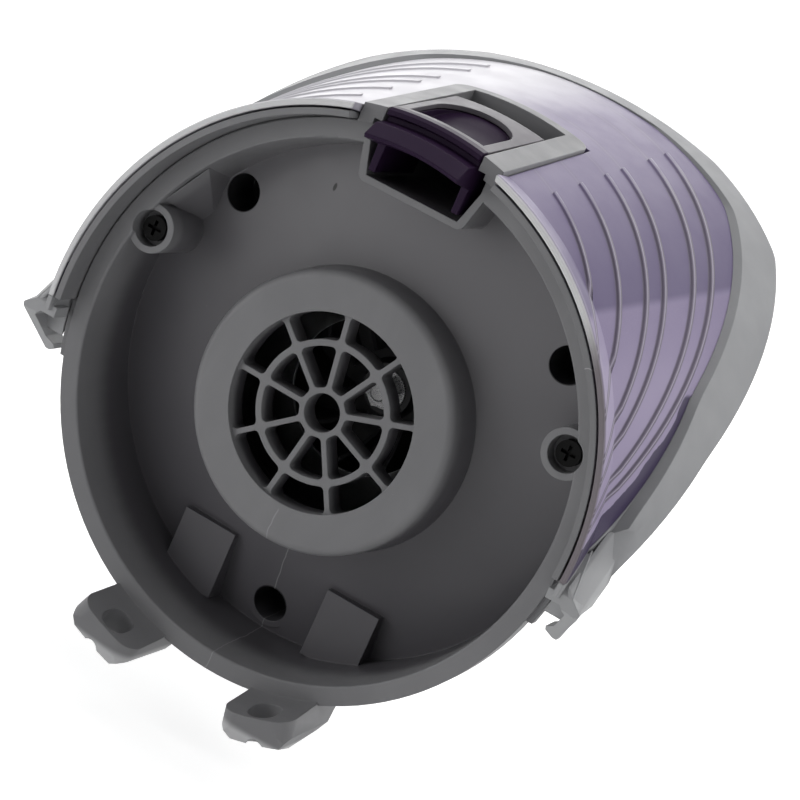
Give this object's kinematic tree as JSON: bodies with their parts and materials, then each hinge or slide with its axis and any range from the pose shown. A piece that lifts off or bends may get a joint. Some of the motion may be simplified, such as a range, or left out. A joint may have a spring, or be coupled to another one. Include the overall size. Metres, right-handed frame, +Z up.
{
  "type": "vacuum motor",
  "caption": "Motor unit of a stick vacuum: an open round dish with a spoked air inlet, a flared hood behind it, a sprung release latch on top and hooked lugs below.",
  "frame": {"origin": "centre of the round rim's front face, where the dust container's edge meets it", "axes": "+Z up through the release latch, -Y out of the open dish towards the container, X across; the part is the same left and right apart from its spokes and blades"},
  "size_m": [0.1448, 0.1058, 0.147],
  "materials": {
    "housing": "satin dark grey moulding",
    "band": "fine matt light grey moulding",
    "cover": "tinted lilac-purple with a metallic sheen",
    "latch": "satin aubergine",
    "plate": "satin silver, slightly lilac",
    "screw": "black oxide",
    "steel": "bright",
    "sheet_steel": "zinc plated sheet",
    "core_steel": "stacked laminations",
    "copper": "enamelled copper",
    "terminal": "tinned brass",
    "ferrite": "ground",
    "carbon": "dull",
    "rubber": "matt",
    "impeller": "glass-filled black",
    "inner_plastic": "glass-filled black"
  },
  "bodies": {
    "housing": {"front_housing": "housing", "hood_cover": "cover", "hood_shell": "band", "hood_screw_left": "screw", "hood_screw_right": "screw", "motor_screw_left": "screw", "motor_screw_right": "screw", "motor_screw_low": "screw", "motor_seal": "rubber", "fan_cover": "sheet_steel", "diffuser": "inner_plastic", "motor_can": "sheet_steel", "front_bearing": "steel", "magnet_upper": "ferrite", "magnet_lower": "ferrite", "end_bracket": "inner_plastic", "rear_bearing": "steel", "carbon_brush_left": "carbon", "brush_holder_left": "copper", "terminal_left": "terminal", "carbon_brush_right": "carbon", "brush_holder_right": "copper", "terminal_right": "terminal", "rear_mount": "rubber", "motor_cage": "inner_plastic"},
    "rotor": {"motor_shaft": "steel", "impeller": "impeller", "impeller_nut": "steel", "impeller_washer": "steel", "armature_core": "core_steel", "armature_winding": "copper", "commutator": "copper"},
    "latch": {"latch_slider": "latch", "latch_plate": "plate", "latch_spring": "steel"}
  },
  "joints": [
    {"name": "rotor_spin", "type": "hinge", "parent": "housing", "child": "rotor", "pos_m": [0, 0.05479, 0.00479], "axis": [0, 0.9962, 0.0872], "continuous": true},
    {"name": "latch_slide", "type": "slide", "parent": "housing", "child": "latch", "axis": [0, 1, 0], "range_m": [0, 0.006], "stiffness_N_per_m": 600, "springref_m": -0.004, "deforming": ["latch_spring"]}
  ]
}
